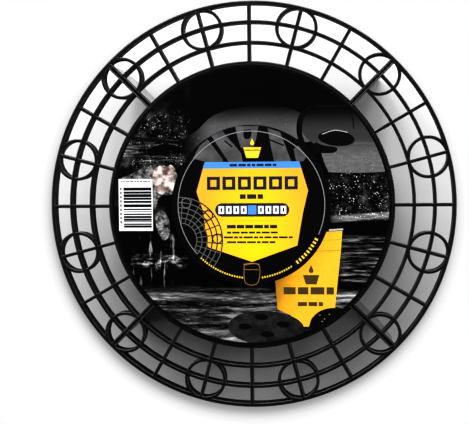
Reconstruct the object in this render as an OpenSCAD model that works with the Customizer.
// Grit trap: a round grating that stands on four upright vanes at the bottom
// of a wash bucket.  The vanes push up into slots in the grating, and a round
// printed sales card is held on top by glue dots.
// Frame: +Z up, origin on the standing plane under the middle of the grating.

/* [Grating] */
// Outer radius of the rim
rim_r = 130; // [120:0.5:140]
// Height of the rim, rings and ribs
grid_h = 10; // [8:0.5:14]
// Thickness of the rim
rim_w = 2.4; // [2.2:0.1:3]
// Thickness of the rings, ribs and small circles
wall_w = 2.1; // [1.8:0.1:2.4]
// Step in from the rim to the outside of the next ring
rim_step = 12.25; // [11.5:0.05:13]
// Step from one ring to the next
ring_step = 12.95; // [12.5:0.05:13.2]

/* [Vanes] */
// Height of a vane from the standing plane to the grating
vane_h = 45; // [35:1:60]
// Thickness of a vane below the grating
vane_t = 2; // [1.6:0.1:2.6]
// Thickness of the tongue that sits in the grating
tongue_t = 1.2; // [1:0.1:1.4]
// Gap on each side of the tongue
tongue_gap = 0.1; // [0.05:0.05:0.2]
// How far the top of the tongue stays below the top of the grating
tongue_drop = 0.6; // [0.3:0.1:2]
// Thickness of each of the two rails beside a slot
rail_w = 1; // [0.8:0.1:1.2]

/* [Card] */
// Radius of the card
card_r = 90; // [85:0.5:91]
// Thickness of the card
card_t = 0.5; // [0.3:0.1:0.8]
// Thickness of a glue dot
glue_t = 0.3; // [0.2:0.1:0.6]
// Radius of a glue dot
glue_r = 3.5; // [2.5:0.5:5]

/* [Hidden] */

$fn = 180;

plastic = "#1b1b1d";
vane_black = "#242426";
card_black = "#101012";
glue_clear = "#d8d4c0";

top_z = vane_h + grid_h;

// Rings are counted inwards from the rim, which is ring 0
hub_ring = 9;
function ring_r(i) = i == 0 ? rim_r : rim_r - rim_step - (i - 1) * ring_step;

// Ribs stand every 15 degrees outside, and fewer of them go on towards the hub
fine_step = 15;
coarse_step = 30;
first_coarse = 15;
fine_end_ring = 6;
coarse_end_ring = 8;
function rib_start_r(a) = (a - first_coarse) % coarse_step == 0
    ? ring_r(coarse_end_ring)
    : ring_r(fine_end_ring);

rail_start_r = ring_r(hub_ring) - wall_w / 2;
rib_end_r = rim_r - rim_w / 2;

// Small circles sit between the rim and ring 2, on every other rib
circle_gap = 0.15;
circle_out = rim_r - circle_gap;
circle_in = ring_r(2) - wall_w + circle_gap;
circle_mid_r = (circle_out + circle_in) / 2;
circle_r = (circle_out - circle_in) / 2;

// Slots for the vanes
slot_w = tongue_t + 2 * tongue_gap;
rails_w = slot_w + 2 * rail_w;
slot_in = ring_r(hub_ring - 1) + 1.5;
slot_out = rim_r - rim_w - 1.2;
end_gap = 0.3;
vane_angles = [45, 135, 225, 315];

// Outline of a vane
vane_in = slot_in + end_gap;
vane_out = rim_r - 3;
tongue_out = slot_out - end_gap;
bevel_top_z = 20;
bevel_bottom_r = vane_out - 8;
corner_r = 4;
arc_steps = 8;

// Glue dots sit where ribs cross a ring
glue_ring = 5;
glue_angles = [15, 75, 165, 255, 285, 345];

// Plan views of the grating's walls
module ring_plan(r_out, w) {
    difference() {
        circle(r_out);
        circle(r_out - w);
    }
}

module rib_plan(a, r_in, r_out, w) {
    rotate(a)
        translate([r_in, -w / 2])
            square([r_out - r_in, w]);
}

module rings_plan() {
    ring_plan(rim_r, rim_w);
    for (i = [1:hub_ring])
        ring_plan(ring_r(i), wall_w);
}

function is_vane_rib(a) = (a - vane_angles[0]) % 90 == 0;

module ribs_plan() {
    for (a = [0:fine_step:359])
        if (is_vane_rib(a))
            rib_plan(a, rail_start_r, rib_end_r, rails_w);
        else
            rib_plan(a, rib_start_r(a) - wall_w / 2, rib_end_r, wall_w);
}

module circles_plan() {
    for (a = [first_coarse:coarse_step:359])
        rotate(a)
            translate([circle_mid_r, 0])
                ring_plan(circle_r, wall_w);
}

module slots_plan() {
    for (a = vane_angles)
        rib_plan(a, slot_in, slot_out, slot_w);
}

module grid() {
    color(plastic)
        translate([0, 0, vane_h])
            linear_extrude(grid_h)
                difference() {
                    union() {
                        rings_plan();
                        ribs_plan();
                        circles_plan();
                    }
                    slots_plan();
                }
}

// Points of an arc, from one direction to another, in degrees
function arc(cx, cy, r, from, to) = [
    for (i = [0:arc_steps])
        let (t = from + (to - from) * i / arc_steps)
            [cx + r * cos(t), cy + r * sin(t)]
];

// Side view of a vane, radius across and height up
module vane_outline() {
    polygon(concat(
        arc(vane_in + corner_r, corner_r, corner_r, 180, 270),
        arc(bevel_bottom_r - corner_r, corner_r, corner_r, 270, 340),
        [[vane_out, bevel_top_z], [vane_out, vane_h], [vane_in, vane_h]]
    ));
}

module tongue_outline() {
    translate([vane_in, vane_h - 1])
        square([tongue_out - vane_in, grid_h - tongue_drop + 1]);
}

module plate(t) {
    rotate([90, 0, 0])
        linear_extrude(t, center = true)
            children();
}

module vane(a) {
    color(vane_black)
        rotate([0, 0, a])
            union() {
                plate(vane_t) vane_outline();
                plate(tongue_t) tongue_outline();
            }
}

module vane_1() { vane(vane_angles[0]); }
module vane_2() { vane(vane_angles[1]); }
module vane_3() { vane(vane_angles[2]); }
module vane_4() { vane(vane_angles[3]); }

module card() {
    color(card_black)
        translate([0, 0, top_z + glue_t])
            cylinder(r = card_r, h = card_t);
}

module glue_dots() {
    color(glue_clear)
        for (a = glue_angles)
            rotate([0, 0, a])
                translate([ring_r(glue_ring) - wall_w / 2, 0, top_z])
                    cylinder(r = glue_r, h = glue_t, $fn = 48);
}

grid();
vane_1();
vane_2();
vane_3();
vane_4();
card();
glue_dots();
